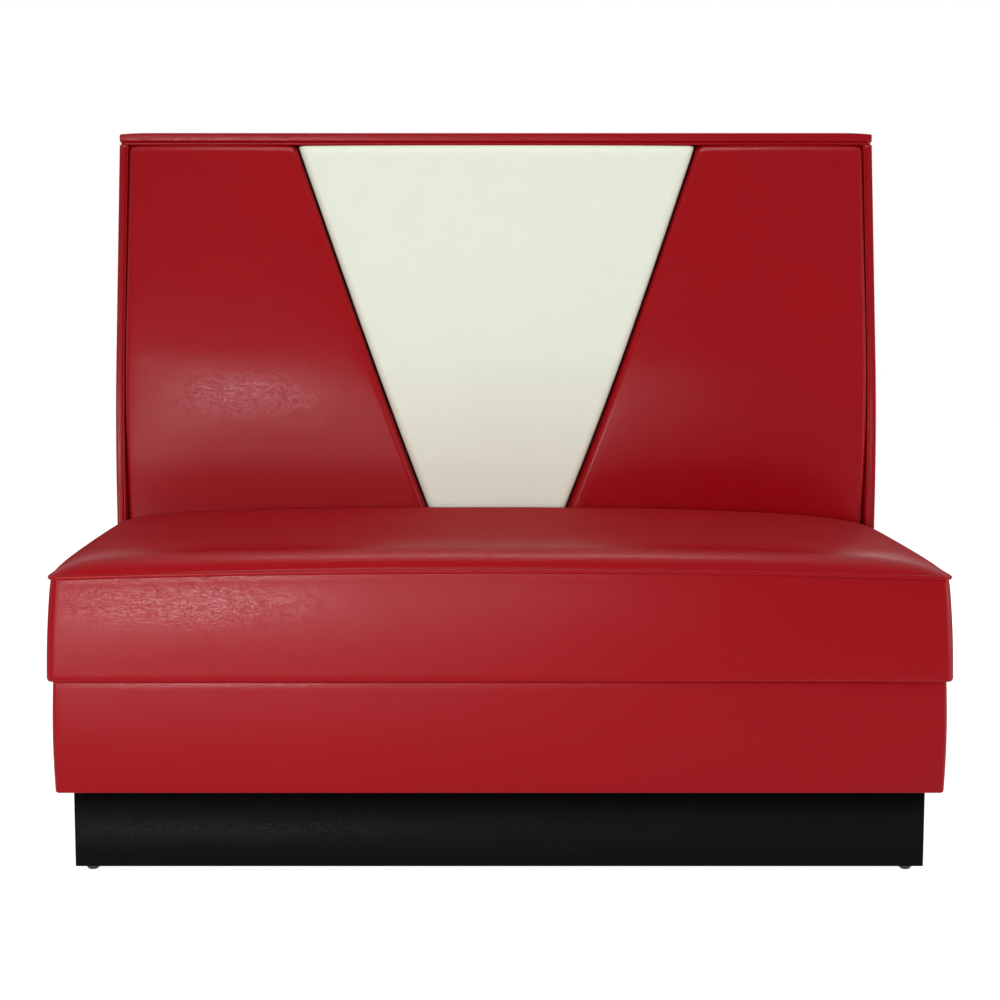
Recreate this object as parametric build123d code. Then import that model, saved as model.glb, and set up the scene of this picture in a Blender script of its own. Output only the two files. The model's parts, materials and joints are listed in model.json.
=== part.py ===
from build123d import *
import math
import os

# Restaurant booth bench with a V back, 48 in wide, 24 in deep and 42 in high.
# Millimetres. +Z is up, the sitter faces -Y, and left means -X, as seen from the front.
# The origin is on the floor, at the middle of the bench's outline seen from above.

# Overall sizes
overall_width = 1219.2
overall_depth = 609.6
overall_height = 1066.8
floor_gap = 9.0
kick_height = 108.5
base_height = 155.0

# Sheet and board stock
vinyl = 1.2
felt = 1.5
fit_gap = 0.3
soft_gap = 0.45
board = 19.0
thin_board = 12.0
rear_sheet = 6.0
plinth_timber = 38.0
edge_round = 2.4
cord_flat_count = 8
corner_round = 5.0

# Base box
base_side_inset = 5.0
base_front_inset = 14.0
cleat_height = 38.0
kick_turn_under = 14.0

# Front edge of the back: upright, then an arc from just above the low rail, then a straight
# slope. The arc ends at a share of the height above its start.
back_foot_depth = 160.6
bend_top_share = 0.38141
recline = 9.44

# Back frame
end_board = 12.0
pad_depth = 30.0
pad_board = 9.0
rail_height = 80.0
low_rail_bottom = 402.0
low_rail_drop = 8.0
middle_rail_rise = 12.0
top_rail_drop = 3.7
rib_place = 300.0
end_welt = 3.6

# Back pads
pad_bottom = 395.0
pad_top_gap = 2.0
pad_end_gap = 1.5
pad_seam_gap = 4.0
v_half_top = 317.3
v_half_bottom = 80.1
pad_wadding = 6.0
pad_roll = 16.0
pad_swell = 24.0
pad_crown = 7.0
swell_start_share = 0.12
swell_rise_share = 0.28
swell_fade_share = 0.45
crown_least_share = 0.1
pad_cuts = 5
roll_cuts = 2
crown_cuts = 4

# Cap
cap_board = 12.0
cap_welt = 4.4
cap_welt_inset = 0.8
cap_welt_corner = 4.0
cap_round = 2.2

# Seat
seat_rail_thick = 25.0
seat_rail_height = 95.0
seat_rear_gap = 1.5
boxing_pad = 8.0
front_boxing_pad = 17.5
boxing_corner = 13.0
seat_top_inset = 4.5
seat_front_lean = 14.5
seat_draw_in = 2.5
seat_low_draw_in = 0.5
seat_turn_under = 24.0
seam_corner_height = 139.8
seam_front_rise = 9.4
seam_rear_rise = 18.0
seat_crown = 40.0
seat_edge_lip = 2.0
shoulder_width = 118.0
shoulder_swell = 7.5
middle_swell = 5.0
seat_cover = 1.6
seat_welt = 6.0
centre_rail_drop = 22.0
dust_cloth = 0.6
strap_width = 60.0
strap_thick = 1.5
strap_gap = 0.4
long_straps = 3
cross_straps = 8
block_width = 38.0
block_reach = 15.0
block_height = 60.0

# Fasteners and levellers
stud_flat_count = 6
thread_radius = 4.0
thread_clearance = 0.15
tee_flange_radius = 9.5
tee_flange_thick = 1.5
tee_barrel_radius = 5.0
tee_barrel_length = 11.0
bore_clearance = 0.5
bolt_head_radius = 7.5
bolt_head_height = 5.3
bolt_flange_radius = 10.0
bolt_flange_height = 1.6
screw_radius = 2.2
screw_head_radius = 4.4
screw_head_height = 2.2
screw_length = 26.0
screw_clearance = 0.35
foot_radius = 9.0
foot_height = 8.0
foot_flat_count = 16
foot_dome = 4.0
foot_dome_reach = 3.2
stem_length = 46.0
leveller_bore_depth = 60.0

# Places that follow from the sizes above
half_width = overall_width / 2
front = -overall_depth / 2
rear = overall_depth / 2
skin = vinyl + felt
back_start = rear - back_foot_depth
bend_bottom = low_rail_bottom + rail_height + low_rail_drop
bend_top = bend_bottom + bend_top_share * (overall_height - bend_bottom)
base_bottom = floor_gap + kick_height
base_top = base_bottom + base_height
base_half = half_width - base_side_inset
base_front = front + base_front_inset
shell_half = base_half - skin
shell_front = base_front + skin
shell_rear = rear - skin
room_half = shell_half - board
room_front = shell_front + board
room_rear = shell_rear - board
plinth_half = room_half
plinth_front = room_front
plinth_rear = room_rear
plinth_bottom = floor_gap + vinyl
plinth_top = base_bottom + vinyl
floor_panel_top = plinth_top + thin_board
board_top = base_top - vinyl
cap_bottom = overall_height - skin - cap_board
frame_rear = rear - skin - rear_sheet
frame_inner = half_width - skin - end_board
frame_outer = half_width - skin
pad_top = cap_bottom - cap_welt - pad_top_gap
pad_half = frame_inner - pad_end_gap
pad_rear = pad_depth + pad_board + pad_roll
v_slope_share = (v_half_top - v_half_bottom) / (pad_top - pad_bottom)
middle_rail_bottom = bend_top + middle_rail_rise
top_rail_bottom = pad_top - top_rail_drop - rail_height
bend_radius = (bend_top - bend_bottom) / math.sin(math.radians(recline))
sill_top = base_top + board
foot_in = plinth_timber / 2
seat_rear = back_start + skin - end_welt - seat_rear_gap
rail_out_half = half_width - boxing_pad
rail_out_front = front + front_boxing_pad
rail_out_rear = seat_rear - vinyl
seat_rail_bottom = base_top + vinyl
seat_rail_top = seat_rail_bottom + seat_rail_height
strap_top = seat_rail_top + strap_thick + strap_gap + strap_thick + strap_gap
seam_corner = base_top + seam_corner_height
seam_half = half_width - seat_top_inset
seam_front = front + seat_front_lean


def span_box(x, y, z):
    """A box between two limits on each axis."""
    size = Box(x[1] - x[0], y[1] - y[0], z[1] - z[0])
    return Pos((x[0] + x[1]) / 2, (y[0] + y[1]) / 2, (z[0] + z[1]) / 2) * size


def stud(radius, x, y, z):
    """An upright bar with a few flats, for the small fasteners and the holes for them."""
    return extrude(Pos(x, y, z[0]) * RegularPolygon(radius, stud_flat_count), amount=z[1] - z[0])


def back_y(z, depth):
    """Where the back's front line, moved in by a depth, lies at a height."""
    if z <= bend_bottom:
        return back_start + depth
    radius = bend_radius - depth
    turned = math.sin(math.radians(recline)) * radius
    if z <= bend_bottom + turned:
        return back_start + bend_radius - math.sqrt(radius**2 - (z - bend_bottom) ** 2)
    bend_end = back_start + bend_radius - radius * math.cos(math.radians(recline))
    return bend_end + (z - bend_bottom - turned) * math.tan(math.radians(recline))


def back_line(depth, bottom, top):
    """The back's front line moved in by a depth, as upright, arc and slope."""
    radius = bend_radius - depth
    angles = [math.radians(recline) * share for share in (0, 1 / 2, 1)]
    bend = [
        (back_start + bend_radius - radius * math.cos(a), bend_bottom + radius * math.sin(a))
        for a in angles
    ]
    upright = Line((back_start + depth, bottom), bend[0])
    slope = Line(bend[2], (back_y(top, depth), top))
    return [upright, ThreePointArc(*bend), slope]


def back_slab(depth, bottom, top, rear_line, x):
    """A solid behind the back's front line, reaching to a rear line, between two sides."""
    lines = back_line(depth, bottom, top)
    if isinstance(rear_line, tuple):
        lines += back_line(rear_line[0], bottom, top)
        lines += [
            Line((back_y(bottom, depth), bottom), (back_y(bottom, rear_line[0]), bottom)),
            Line((back_y(top, depth), top), (back_y(top, rear_line[0]), top)),
        ]
    else:
        lines += [
            Line((back_y(top, depth), top), (rear_line, top)),
            Line((rear_line, top), (rear_line, bottom)),
            Line((rear_line, bottom), (back_y(bottom, depth), bottom)),
        ]
    return extrude(Plane.YZ.offset(x[0]) * make_face(Curve() + lines), amount=x[1] - x[0])


def skin_box(x, y, z, wall, lip, turn, round_edges):
    """A wrapped sheet round four sides, with an edge turned in over and under them."""
    outer = span_box(x, y, z)
    outer = fillet(outer.edges().filter_by(Axis.Z), corner_round)
    if round_edges:
        outer = chamfer(outer.faces().sort_by(Axis.Z)[-1].edges(), edge_round / 2)
        outer = chamfer(outer.faces().sort_by(Axis.Z)[0].edges(), edge_round / 2)
    inner_x = (x[0] + wall, x[1] - wall)
    inner_y = (y[0] + wall, y[1] - wall)
    room = span_box(inner_x, inner_y, (z[0] + lip[0], z[1] - lip[1]))
    hole = span_box((x[0] + turn, x[1] - turn), (y[0] + turn, y[1] - turn), z)
    return outer - room - hole


# Plinth

def foot_places():
    """Where the four levellers stand, by name."""
    places = {}
    for depth_name, y in (("front", plinth_front + foot_in), ("rear", plinth_rear - foot_in)):
        for side_name, x in (("left", foot_in - plinth_half), ("right", plinth_half - foot_in)):
            places[depth_name + "_" + side_name] = (x, y)
    return places


def screw_hole():
    """The hole that a wood screw sits in, its mouth on the origin."""
    return stud(screw_radius + screw_clearance, 0, 0, (-screw_length - fit_gap, 0))


def floor_screw_holes():
    return [Pos(x, y, floor_panel_top) * screw_hole() for x, y in floor_screw_places()]


def leveller_bores():
    """The holes for the levellers and their tee nuts, up into the plinth."""
    bores = []
    for x, y in foot_places().values():
        bores.append(stud(tee_barrel_radius + bore_clearance, x, y,
                          (plinth_bottom, plinth_bottom + leveller_bore_depth)))
        bores.append(stud(tee_flange_radius + bore_clearance, x, y,
                          (plinth_bottom, plinth_bottom + tee_flange_thick)))
    return bores


def make_plinth():
    height = (plinth_bottom, plinth_top)
    inside = plinth_half - plinth_timber
    deep = (plinth_front + plinth_timber, plinth_rear - plinth_timber)
    wide = (-plinth_half, plinth_half)
    bores = leveller_bores() + floor_screw_holes()
    vinyl_band = skin_box(
        (-plinth_half - vinyl, plinth_half + vinyl),
        (plinth_front - vinyl, plinth_rear + vinyl),
        (floor_gap, plinth_top), vinyl, (vinyl, -vinyl), kick_turn_under, False)
    return {
        "plinth_front_rail": span_box(wide, (plinth_front, deep[0]), height) - bores,
        "plinth_rear_rail": span_box(wide, (deep[1], plinth_rear), height) - bores,
        "plinth_left_rail": span_box((-plinth_half, -inside), deep, height) - bores,
        "plinth_right_rail": span_box((inside, plinth_half), deep, height) - bores,
        "plinth_cross_rail": span_box((-foot_in, foot_in), deep, height) - bores,
        "plinth_vinyl_band": vinyl_band,
    }


# Base box

def bolt_places():
    """The four bolts that hold the back on the base."""
    y = room_rear - plinth_timber / 2
    inner = rib_place / 2
    outer = (rib_place + frame_inner) / 2
    return [(x, y) for x in (-outer, -inner, inner, outer)]


def floor_screw_places():
    """The screws that hold the base's floor panel on the plinth."""
    middle = (plinth_front + plinth_rear) / 2
    side = plinth_half - foot_in
    beside_board = (board + plinth_timber) / 4
    places = [(x, middle) for x in (-side, beside_board, side)]
    places += [(x, plinth_front + foot_in) for x in (-rib_place, rib_place)]
    places += [(x, plinth_rear - foot_in) for x in (-rib_place, rib_place)]
    return places


def make_base():
    wide = (-shell_half, shell_half)
    upright = (floor_panel_top, board_top)
    deep = (room_front, room_rear)
    cleat = span_box((-room_half, room_half), (room_rear - plinth_timber, room_rear),
                     (base_top - cleat_height, base_top))
    for x, y in bolt_places():
        cleat -= stud(thread_radius + bore_clearance, x, y, (base_top - cleat_height, base_top))
        cleat -= stud(tee_barrel_radius + bore_clearance, x, y,
                      (base_top - cleat_height, base_top - cleat_height + tee_barrel_length))
    floor_panel = span_box(wide, (shell_front, shell_rear), (plinth_top, floor_panel_top))
    floor_panel -= floor_screw_holes()
    middle = span_box((-board / 2, board / 2), deep, (floor_panel_top, base_top))
    turn = skin + board
    wrap = skin_box((-base_half, base_half), (base_front, rear), (base_bottom, base_top),
                    skin, (vinyl, vinyl), turn, True)
    wrap -= span_box((-plinth_half - vinyl - fit_gap, plinth_half + vinyl + fit_gap),
                     (plinth_front - vinyl - fit_gap, plinth_rear + vinyl + fit_gap),
                     (base_bottom, plinth_top))
    return {
        "base_floor_panel": floor_panel,
        "base_front_board": span_box(wide, (shell_front, room_front), upright),
        "base_rear_board": span_box(wide, (room_rear, shell_rear), upright),
        "base_left_board": span_box((-shell_half, -room_half), deep, upright),
        "base_right_board": span_box((room_half, shell_half), deep, upright),
        "base_middle_board": middle - cleat,
        "base_rear_cleat": cleat,
        "base_vinyl_wrap": wrap,
    }


# Back frame

def make_rail(bottom, name):
    """A rail across the back, tilted to the back's slope, under the pad boards."""
    depth = pad_depth + pad_board
    tilt = recline if bottom > bend_top else 0
    rail = Pos(0, board / 2, rail_height / 2) * Box(2 * frame_inner, board, rail_height)
    rail = Pos(0, back_y(bottom, depth), bottom) * Rot(-tilt, 0, 0) * rail
    return name, rail


def pad_screw_places(bottom):
    """Screws through a rail into the three pad boards: place across and height."""
    z = bottom + rail_height / 2
    seam = seam_x(z)
    middle = (seam + pad_half) / 2
    spread = (pad_half - seam) / 4
    sides = [side * (middle + step) for side in (-1, 1) for step in (-spread, spread)]
    return [(x, z) for x in sides + [-seam / 2, seam / 2]]


def screw_frame(x, z, bottom):
    """The place of a pad screw: on the rail's rear face, with +Z out of the rail."""
    tilt = recline if bottom > bend_top else 0
    start = Pos(x, back_y(bottom, pad_depth + pad_board), bottom) * Rot(-tilt, 0, 0)
    return start * Pos(0, board, z - bottom) * Rot(-90, 0, 0)


def pad_screw_holes():
    return [screw_frame(x, z, bottom) * screw_hole()
            for bottom in (low_rail_bottom, top_rail_bottom) for x, z in pad_screw_places(bottom)]


def seam_x(z):
    """Half the width of the V pad at a height."""
    return v_half_top + v_slope_share * (z - pad_top)


def end_panel(side, inner_x, outer_x, depth, bottom, top):
    x = sorted((side * inner_x, side * outer_x))
    return back_slab(depth, bottom, top, frame_rear, x)


def welt_rebate(side):
    """The corner of an end panel that the cap's welt lies in."""
    low = cap_bottom - cap_welt - fit_gap
    reach = cap_welt_inset + cap_welt + soft_gap
    outer = side * half_width
    across = sorted((outer, side * (half_width - reach)))
    flank = span_box(across, (front, rear), (low, cap_bottom))
    ahead = span_box(sorted((outer, side * frame_inner)),
                     (back_start, back_y(cap_bottom, 0) + reach), (low, cap_bottom))
    return flank + ahead


def make_back_frame():
    rails = dict([
        make_rail(low_rail_bottom, "back_low_rail"),
        make_rail(middle_rail_bottom, "back_middle_rail"),
        make_rail(top_rail_bottom, "back_top_rail"),
    ])
    parts = {}
    sill_front = back_start + pad_depth
    sill = span_box((-frame_inner, frame_inner), (sill_front, frame_rear), (base_top, sill_top))
    for x, y in bolt_places():
        sill -= stud(thread_radius + bore_clearance, x, y, (base_top, sill_top))
    parts["back_sill"] = sill
    for name, side in (("left", -1), ("right", 1)):
        panel = end_panel(side, frame_inner, frame_outer, skin, base_top, cap_bottom)
        parts["back_" + name + "_end_panel"] = panel - welt_rebate(side)
        inner_x = side * rib_place - board / 2
        rib = back_slab(pad_depth + pad_board, sill_top, cap_bottom, frame_rear,
                        (inner_x, inner_x + board))
        parts["back_" + name + "_rib"] = rib - list(rails.values())
    for name in ("back_low_rail", "back_top_rail"):
        rails[name] -= pad_screw_holes()
    parts.update(rails)
    panel = span_box((-frame_outer, frame_outer), (frame_rear, frame_rear + rear_sheet),
                     (base_top, cap_bottom))
    parts["back_rear_panel"] = panel - welt_rebate(-1) - welt_rebate(1)
    parts["back_rear_vinyl"] = span_box(
        (-half_width, half_width), (frame_rear + rear_sheet, rear), (base_top, cap_bottom))
    return parts


def make_end_covers():
    parts = {}
    top = cap_bottom - cap_welt - fit_gap
    for name, side in (("left", -1), ("right", 1)):
        strip_inner = frame_inner + end_welt
        x = sorted((side * strip_inner, side * half_width))
        cover = back_slab(0, base_top, top, rear - skin, x)
        inside = sorted((side * (frame_inner - skin), side * frame_outer))
        cover -= back_slab(skin, base_top - skin, top + skin, rear + skin, inside)
        long_edges = cover.edges().filter_by(lambda e: abs(e.center().X) > half_width - fit_gap)
        front_edges = long_edges.filter_by(
            lambda e: e.center().Y < back_y(e.center().Z, 0) + fit_gap and e.length > skin)
        parts["back_" + name + "_end_vinyl"] = fillet(front_edges, edge_round)
        depth = skin - end_welt / 2
        path = Wire(back_line(depth, base_top, top))
        path = Plane.YZ.offset(side * (frame_inner + end_welt / 2)) * path
        start = Plane(path @ 0, x_dir=(1, 0, 0), z_dir=path % 0)
        welt = sweep(start * RegularPolygon(end_welt / 2, cord_flat_count), path=path)
        parts["back_" + name + "_end_welt"] = welt
    return parts


# Back pads

def ease(value):
    """A smooth step from 0 to 1."""
    value = min(max(value, 0), 1)
    return value**2 * (3 - value - value)


def pad_stations():
    """Heights of the level cuts through a pad, as shares, closer together at its rolled top."""
    roll_start = 1 - pad_roll / (pad_top - pad_bottom)
    even = [roll_start * n / pad_cuts for n in range(pad_cuts + 1)]
    rolled = [math.sin(math.pi / 2 * n / roll_cuts) for n in range(1, roll_cuts + 1)]
    return [(share, 0) for share in even] + [
        (roll_start + (1 - roll_start) * turn, 1 - math.sqrt(1 - turn**2)) for turn in rolled]


def pad_sides(name, z, inset):
    """The two side edges of a pad at a height."""
    slant = inset * math.hypot(1, v_slope_share)
    if name == "centre":
        half = seam_x(z) - slant
        return -half, half
    inner = seam_x(z) + pad_seam_gap + slant
    outer = pad_half - inset
    return (inner, outer) if name == "right" else (-outer, -inner)


def pad_face(share):
    """Height, face line and crown of a pad at a share of its height."""
    rise = ease((share - swell_start_share) / swell_rise_share)
    fade = ease((share - swell_rise_share) / (1 - swell_rise_share))
    swell_share = rise * (1 - swell_fade_share * fade)
    crown = pad_crown * (crown_least_share + (1 - crown_least_share) * swell_share)
    z = pad_bottom + share * (pad_top - pad_bottom)
    return z, back_y(z, 0) + end_welt - skin - pad_swell * swell_share, crown


def pad_section(name, share, drop_share):
    """A level cut through a pad: flat back, straight flanks, rolled edges and a crown."""
    z, face_y, crown = pad_face(share)
    face_y += pad_roll * drop_share
    left, right = pad_sides(name, z, 0)
    rear_y = back_y(z, pad_rear)
    edge_y = face_y + pad_roll
    turn = pad_roll * (1 - math.sqrt(1 / 2))
    crown_left, crown_wide = left + pad_roll, right - left - pad_roll - pad_roll
    steps = [n / crown_cuts for n in range(crown_cuts + 1)]
    heights = [1 - (1 - step - step)**2 for step in steps]
    front_line = [(crown_left + crown_wide * (1 - step), face_y - crown * height)
                  for step, height in zip(steps, heights)]
    lines = [
        Line((left, rear_y), (right, rear_y)),
        Line((right, rear_y), (right, edge_y)),
        ThreePointArc((right, edge_y), (right - turn, face_y + turn), front_line[0]),
        Polyline(*front_line),
        ThreePointArc(front_line[-1], (left + turn, face_y + turn), (left, edge_y)),
        Line((left, edge_y), (left, rear_y)),
    ]
    return Pos(0, 0, z) * make_face(Curve() + lines)


def pad_whole(name):
    """A pad's outer form."""
    return loft([pad_section(name, *row) for row in pad_stations()], ruled=True)


def pad_core(name, inset, reach):
    """The room inside a pad's cover and wadding: the pad's outline with a flat-cut face."""
    points = [(y + inset, z) for z, y, _ in [pad_face(share) for share, _ in pad_stations()]]
    profile = make_face(Polyline(*points, (rear, pad_top), (rear, pad_bottom), close=True))
    block = extrude(Plane.YZ.offset(-half_width) * profile, amount=overall_width)
    return block & pad_outline(name, inset, reach)


def pad_outline(name, inset, y):
    """An upright block with a pad's outline, as seen from the front, made smaller by an inset."""
    low, high = pad_bottom + inset, pad_top - inset
    corners = [(pad_sides(name, low, inset)[0], low), (pad_sides(name, low, inset)[1], low),
               (pad_sides(name, high, inset)[1], high), (pad_sides(name, high, inset)[0], high)]
    face = make_face(Polyline(*corners, close=True))
    return extrude(Plane.XZ.offset(-y[1]) * face, amount=y[1] - y[0])


def make_pads():
    parts = {}
    reach = (front, frame_rear)
    wide = (-half_width, half_width)
    high = (pad_bottom - pad_roll, pad_top + pad_roll)
    board_inset = pad_wadding + soft_gap
    slab = back_slab(pad_depth, *high, (pad_depth + pad_board,), wide)
    behind_board = back_slab(pad_depth + pad_board, *high, rear + pad_roll, wide)
    behind_foam = back_slab(pad_depth - soft_gap, *high, rear + pad_roll, wide)
    for name in ("left", "centre", "right"):
        cover = pad_whole(name) - pad_core(name, pad_wadding, reach)
        parts[name + "_pad_cover"] = cover - behind_board
        parts[name + "_pad_foam"] = pad_core(name, board_inset, reach) - behind_foam
        pad_base = slab & pad_outline(name, board_inset, reach)
        parts[name + "_pad_board"] = pad_base - pad_screw_holes()
    return parts


# Cap

def make_cap():
    cap_front = back_y(cap_bottom, 0)
    outer = span_box((-half_width, half_width), (cap_front, rear), (cap_bottom, overall_height))
    outer = fillet(outer.edges().filter_by(Axis.Z), corner_round)
    outer = chamfer(outer.faces().sort_by(Axis.Z)[-1].edges(), cap_round)
    wood = span_box((-frame_outer, frame_outer), (cap_front + skin, rear - skin),
                    (cap_bottom, cap_bottom + cap_board))
    inset = cap_welt_inset + cap_welt / 2
    x = half_width - inset
    y = cap_front + inset
    z = cap_bottom - cap_welt / 2
    path = FilletPolyline((-x, rear - skin, z), (-x, y, z), (x, y, z), (x, rear - skin, z),
                          radius=cap_welt_corner)
    start = Plane(path @ 0, x_dir=(1, 0, 0), z_dir=path % 0)
    return {
        "cap_board": wood,
        "cap_vinyl": outer - wood,
        "cap_welt": sweep(start * RegularPolygon(cap_welt / 2, cord_flat_count), path=path),
    }


# Seat

def seam_path():
    """Half of the seat's top seam, from the middle of the front to the middle of the rear."""
    across = seam_half - boxing_corner
    rear_seam = seam_corner + seam_rear_rise
    near = TangentArc((0, seam_front, seam_corner + seam_front_rise),
                      (across, seam_front, seam_corner), tangent=(1, 0, 0))
    corner = TangentArc(near @ 1, (seam_half, seam_front + boxing_corner, seam_corner),
                        tangent=near % 1)
    flank = TangentArc(corner @ 1, (seam_half, seat_rear - seat_welt / 2 - boxing_corner, rear_seam),
                       tangent=corner % 1)
    return near, corner, flank


def seam_height(y):
    """Height of the side seam at a depth."""
    flank = seam_path()[2]
    start, end = flank @ 0, flank @ 1
    share = min(max((y - start.Y) / (end.Y - start.Y), 0), 1)
    return (flank @ share).Z


def seam_floor():
    """Everything below the seat's top seam, as a block with a curved top."""
    stations = (front - boxing_corner, seam_front + boxing_corner,
                (seam_front + seat_rear) / 2, seat_rear + boxing_corner)
    sections = []
    for y in stations:
        z = seam_height(y)
        low = base_top - board
        lines = [
            Line((-seam_half, low), (seam_half, low)),
            Line((seam_half, low), (seam_half, z)),
            ThreePointArc((seam_half, z), (0, z + seam_front_rise), (-seam_half, z)),
            Line((-seam_half, z), (-seam_half, low)),
        ]
        spread = scale(make_face(Curve() + lines), by=(half_width / seam_half, 1, 1))
        sections.append(Plane.XZ.offset(-y) * spread)
    return loft(sections)


def cushion_outline(half, near, far, corner, draw_in):
    """A rounded outline whose front and flanks are drawn in between the corners."""
    bow = corner * (1 - math.sqrt(1 / 2))
    right = [
        ThreePointArc((half - corner, near), (half - bow, near + bow), (half, near + corner)),
        ThreePointArc((half, near + corner), (half - draw_in, (near + far) / 2), (half, far - corner)),
        ThreePointArc((half, far - corner), (half - bow, far - bow), (half - corner, far)),
    ]
    left = [mirror(line, about=Plane.YZ) for line in right]
    front_edge = ThreePointArc((corner - half, near), (0, near + draw_in), (half - corner, near))
    rear_edge = Line((half - corner, far), (corner - half, far))
    return make_face(Curve() + right + left + [front_edge, rear_edge])


def boxing_block(inset):
    """The seat's outer form from its bottom edge to above its top seam."""
    rise = seam_rear_rise + seat_crown + seat_edge_lip
    top = seam_corner + rise
    share = rise / seam_corner_height
    low = cushion_outline(half_width - inset, front + inset, seat_rear, boxing_corner,
                          seat_low_draw_in)
    seam = cushion_outline(seam_half - inset, seam_front + inset, seat_rear, boxing_corner,
                           seat_draw_in)
    high = cushion_outline(seam_half - inset - seat_top_inset * share,
                           seam_front + inset + seat_front_lean * share, seat_rear,
                           boxing_corner, seat_draw_in)
    sections = [Pos(0, 0, base_top) * low, Pos(0, 0, seam_corner) * seam, Pos(0, 0, top) * high]
    return loft(sections, ruled=True)


# Depth of each cut through the seat's crown, as a share of the seat, with its crown's
# height there as a share of the full one.
crown_station_shares = (
    (0.0, 0.04), (0.04, 0.33), (0.12, 0.6), (0.3, 0.88), (0.6, 1.0), (0.85, 0.96), (1.0, 0.5),
)


def crown_section(share, crown_share, inset):
    """An upright cut across the seat: soft shoulders beside a long shallow crown."""
    near, far = seam_front - seat_edge_lip, seat_rear
    y = near + share * (far - near)
    half = seam_half - inset
    edge = seam_height(y) + seat_edge_lip - inset
    crown = edge + seam_front_rise + (seat_crown - seam_front_rise) * crown_share
    shoulder = crown - middle_swell
    across = half - shoulder_width
    low = seat_rail_top
    swell = shoulder_swell * crown_share + (shoulder - edge) / 2
    lines = [
        Line((-half, low), (half, low)),
        Line((half, low), (half, edge)),
        ThreePointArc((half, edge), (half - shoulder_width / 2, edge + swell), (across, shoulder)),
        ThreePointArc((across, shoulder), (0, crown), (-across, shoulder)),
        ThreePointArc((-across, shoulder), (shoulder_width / 2 - half, edge + swell), (-half, edge)),
        Line((-half, edge), (-half, low)),
    ]
    return Plane.XZ.offset(-y) * make_face(Curve() + lines)


def crown_block(inset):
    return loft([crown_section(*row, inset) for row in crown_station_shares], ruled=True)


def make_seat_soft():
    floor_block = seam_floor()
    crown_limit = seam_corner + seam_rear_rise + seat_crown + seat_edge_lip
    rails = span_box((-rail_out_half, rail_out_half), (rail_out_front, rail_out_rear),
                     (seat_rail_bottom, crown_limit))
    hole = span_box((seat_turn_under - half_width, half_width - seat_turn_under),
                    (front + seat_turn_under, seat_rear - seat_turn_under),
                    (base_top, seat_rail_bottom))
    boxing = (boxing_block(0) - rails - hole) & floor_block
    top_block = (crown_block(0) & boxing_block(0)) - floor_block
    cover = top_block - crown_block(seat_cover)
    foam_room = span_box(
        (fit_gap - rail_out_half, rail_out_half - fit_gap),
        (seam_front + seat_welt / 2 + fit_gap, rail_out_rear - fit_gap),
        (strap_top + fit_gap, crown_limit))
    foam = crown_block(seat_cover + soft_gap) & foam_room
    groove = seat_piping(seat_welt / 2 + fit_gap)
    return {
        "seat_boxing": boxing - groove,
        "seat_top_cover": cover - groove,
        "seat_foam": foam - groove,
        "seat_welt": seat_piping(seat_welt / 2),
    }


def seat_piping(radius):
    """A round cord along the seat's top seam, across the front and down both flanks."""
    near, corner, flank = seam_path()
    path = Pos(0, 0, seat_edge_lip / 2) * Wire([near, corner, flank])
    start = Plane(path @ 0, x_dir=(0, 0, 1), z_dir=path % 0)
    half = sweep(start * RegularPolygon(radius, cord_flat_count), path=path)
    return half + mirror(half, about=Plane.YZ)


def strap(length_axis, place, crossings, high_first):
    """A webbing strap that runs over and under the straps that cross it."""
    ends, level = crossings[0], seat_rail_top + strap_thick / 2
    lift = strap_thick + strap_gap
    half_flat = strap_width / 2 + strap_gap
    points = [(ends[0], level)]
    for number, centre in enumerate(crossings[1]):
        over = (number % 2 == 0) == high_first
        z = level + (lift if over else 0)
        points += [(centre - half_flat, z), (centre + half_flat, z)]
    points.append((ends[1], level))
    upper = [(a, z + strap_thick / 2) for a, z in points]
    lower = [(a, z - strap_thick / 2) for a, z in reversed(points)]
    face = make_face(Polyline(*upper, *lower, close=True))
    if length_axis == "x":
        return extrude(Plane.XZ.offset(-place - strap_width / 2) * face, amount=strap_width)
    return extrude(Plane.YZ.offset(place - strap_width / 2) * face, amount=strap_width)


def make_webbing():
    inner_half = rail_out_half - seat_rail_thick
    near, far = rail_out_front + seat_rail_thick, rail_out_rear - seat_rail_thick
    rows = [near + (far - near) * (n + 1) / (long_straps + 1) for n in range(long_straps)]
    columns = [-inner_half + 2 * inner_half * (n + 1) / (cross_straps + 1)
               for n in range(cross_straps)]
    hold = seat_rail_thick / 2
    ends_x = (-inner_half - hold, inner_half + hold)
    ends_y = (near - hold, far + hold)
    along = [strap("x", y, (ends_x, columns), row % 2 == 0) for row, y in enumerate(rows)]
    across = [strap("y", x, (ends_y, rows), column % 2 == 1) for column, x in enumerate(columns)]
    return {
        "seat_long_straps": Compound(children=along),
        "seat_cross_straps": Compound(children=across),
    }


def block_spans():
    """Where the four locating blocks stand in the corners of the seat frame."""
    outer = rail_out_half - seat_rail_thick
    near = rail_out_front + seat_rail_thick
    far = rail_out_rear - seat_rail_thick
    spans = []
    for x in ((-outer, block_width - outer), (outer - block_width, outer)):
        for y in ((near, near + block_width), (far - block_width, far)):
            spans.append((x, y))
    return spans


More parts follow.
